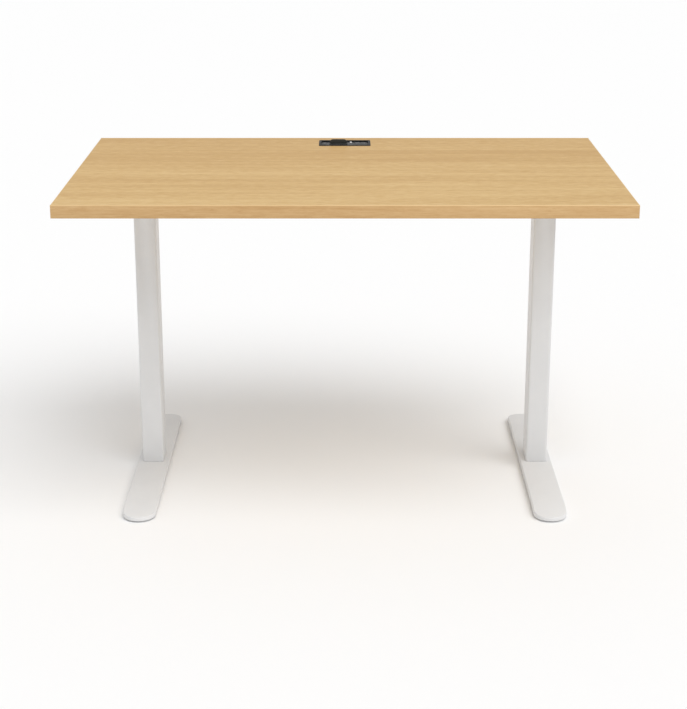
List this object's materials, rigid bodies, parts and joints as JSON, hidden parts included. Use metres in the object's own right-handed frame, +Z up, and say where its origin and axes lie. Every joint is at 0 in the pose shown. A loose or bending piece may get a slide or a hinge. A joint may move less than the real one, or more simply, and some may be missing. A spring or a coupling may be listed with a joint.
{
  "type": "height adjustable standing desk",
  "caption": "Height adjustable standing desk: laminated worktop on two telescopic T-legs with in-column drives, a cable and charging module and an under-edge hand switch.",
  "frame": {"origin": "on the floor, under the middle of the worktop, legs at their lowest height", "axes": "+X along the worktop to the user's right, -Y towards the user, +Z up"},
  "size_m": [1.219, 0.762, 0.7433],
  "materials": {
    "wood_core": "raw particle board",
    "wood_laminate": "satin straight-grained laminate",
    "white_powder_coat": "fine satin powder coat",
    "white_nylon": "moulded, slightly warm white",
    "zinc_steel": "zinc plated",
    "motor_steel": "dark plated steel",
    "brass": "machined",
    "black_plastic": "fine moulded texture",
    "gloss_black": "polished",
    "white_button": "polished",
    "port_steel": "bright plated"
  },
  "bodies": {
    "left_base": {"left_foot": "white_powder_coat", "left_foot_bolt_front": "zinc_steel", "left_foot_bolt_rear": "zinc_steel", "left_base_plate": "zinc_steel", "left_outer_tube": "white_powder_coat", "left_guide_collar": "white_nylon", "left_nut_tube": "zinc_steel", "left_spindle_nut": "brass"},
    "left_front_glide": {"left_glide_front": "white_nylon"},
    "left_rear_glide": {"left_glide_rear": "white_nylon"},
    "upper": {"worktop_core": "wood_core", "worktop_laminate": "wood_laminate", "worktop_backing": "wood_laminate", "worktop_edge_band": "wood_laminate", "left_inner_tube": "white_powder_coat", "left_lower_slider": "white_nylon", "left_gearbox": "motor_steel", "left_motor": "motor_steel", "left_top_bracket": "white_powder_coat", "left_bracket_screw_1": "zinc_steel", "left_bracket_screw_2": "zinc_steel", "left_bracket_screw_3": "zinc_steel", "left_bracket_screw_4": "zinc_steel", "right_inner_tube": "white_powder_coat", "right_lower_slider": "white_nylon", "right_gearbox": "motor_steel", "right_motor": "motor_steel", "right_top_bracket": "white_powder_coat", "right_bracket_screw_1": "zinc_steel", "right_bracket_screw_2": "zinc_steel", "right_bracket_screw_3": "zinc_steel", "right_bracket_screw_4": "zinc_steel", "control_box_base": "black_plastic", "control_box_cover": "black_plastic", "control_box_screw_1": "zinc_steel", "control_box_screw_2": "zinc_steel", "hand_switch_housing": "black_plastic", "hand_switch_screw_1": "zinc_steel", "hand_switch_screw_2": "zinc_steel", "module_rim": "black_plastic", "module_faceplate": "gloss_black", "module_housing": "black_plastic", "module_usb_a_block": "port_steel", "module_usb_c_port": "port_steel"},
    "left_screw": {"left_spindle": "zinc_steel"},
    "right_screw": {"right_spindle": "zinc_steel"},
    "right_base": {"right_foot": "white_powder_coat", "right_foot_bolt_front": "zinc_steel", "right_foot_bolt_rear": "zinc_steel", "right_base_plate": "zinc_steel", "right_outer_tube": "white_powder_coat", "right_guide_collar": "white_nylon", "right_nut_tube": "zinc_steel", "right_spindle_nut": "brass"},
    "right_front_glide": {"right_glide_front": "white_nylon"},
    "right_rear_glide": {"right_glide_rear": "white_nylon"},
    "cable_lid": {"module_cable_lid": "gloss_black"},
    "power_button": {"module_power_button": "white_button"},
    "up_button": {"up_button": "gloss_black"},
    "down_button": {"down_button": "gloss_black"}
  },
  "joints": [
    {"name": "lift", "type": "slide", "parent": "left_base", "child": "upper", "axis": [0, 0, 1], "range_m": [0, 0.46]},
    {"name": "right_lift", "type": "slide", "parent": "upper", "child": "right_base", "axis": [0, 0, -1], "range_m": [0, 0.46]},
    {"name": "left_spindle_turn", "type": "hinge", "parent": "upper", "child": "left_screw", "pos_m": [-0.46, 0.018, 0.5749], "axis": [0, 0, 1], "range_deg": [0, 8281]},
    {"name": "right_spindle_turn", "type": "hinge", "parent": "upper", "child": "right_screw", "pos_m": [0.46, 0.018, 0.5749], "axis": [0, 0, 1], "range_deg": [0, 8281]},
    {"name": "left_front_glide_level", "type": "slide", "parent": "left_base", "child": "left_front_glide", "axis": [0, 0, -1], "range_m": [0, 0.007]},
    {"name": "left_rear_glide_level", "type": "slide", "parent": "left_base", "child": "left_rear_glide", "axis": [0, 0, -1], "range_m": [0, 0.007]},
    {"name": "right_front_glide_level", "type": "slide", "parent": "right_base", "child": "right_front_glide", "axis": [0, 0, -1], "range_m": [0, 0.007]},
    {"name": "right_rear_glide_level", "type": "slide", "parent": "right_base", "child": "right_rear_glide", "axis": [0, 0, -1], "range_m": [0, 0.007]},
    {"name": "cable_lid_hinge", "type": "hinge", "parent": "upper", "child": "cable_lid", "pos_m": [-0.0155, 0.2954, 0.7313], "axis": [-1, 0, 0], "range_deg": [0, 90]},
    {"name": "power_button_press", "type": "slide", "parent": "upper", "child": "power_button", "axis": [0, 0, -1], "range_m": [0, 0.001], "stiffness_N_per_m": 1000, "springref_m": -0.0005},
    {"name": "up_button_press", "type": "slide", "parent": "upper", "child": "up_button", "axis": [0, 1, 0], "range_m": [0, 0.0008], "stiffness_N_per_m": 1200, "springref_m": -0.0005},
    {"name": "down_button_press", "type": "slide", "parent": "upper", "child": "down_button", "axis": [0, 1, 0], "range_m": [0, 0.0008], "stiffness_N_per_m": 1200, "springref_m": -0.0005}
  ],
  "couplings": [
    {"joint": "right_lift", "follows": "lift", "ratio": 1},
    {"joint": "left_spindle_turn", "follows": "lift", "rad_per_m": 314.16},
    {"joint": "right_spindle_turn", "follows": "lift", "rad_per_m": 314.16}
  ]
}
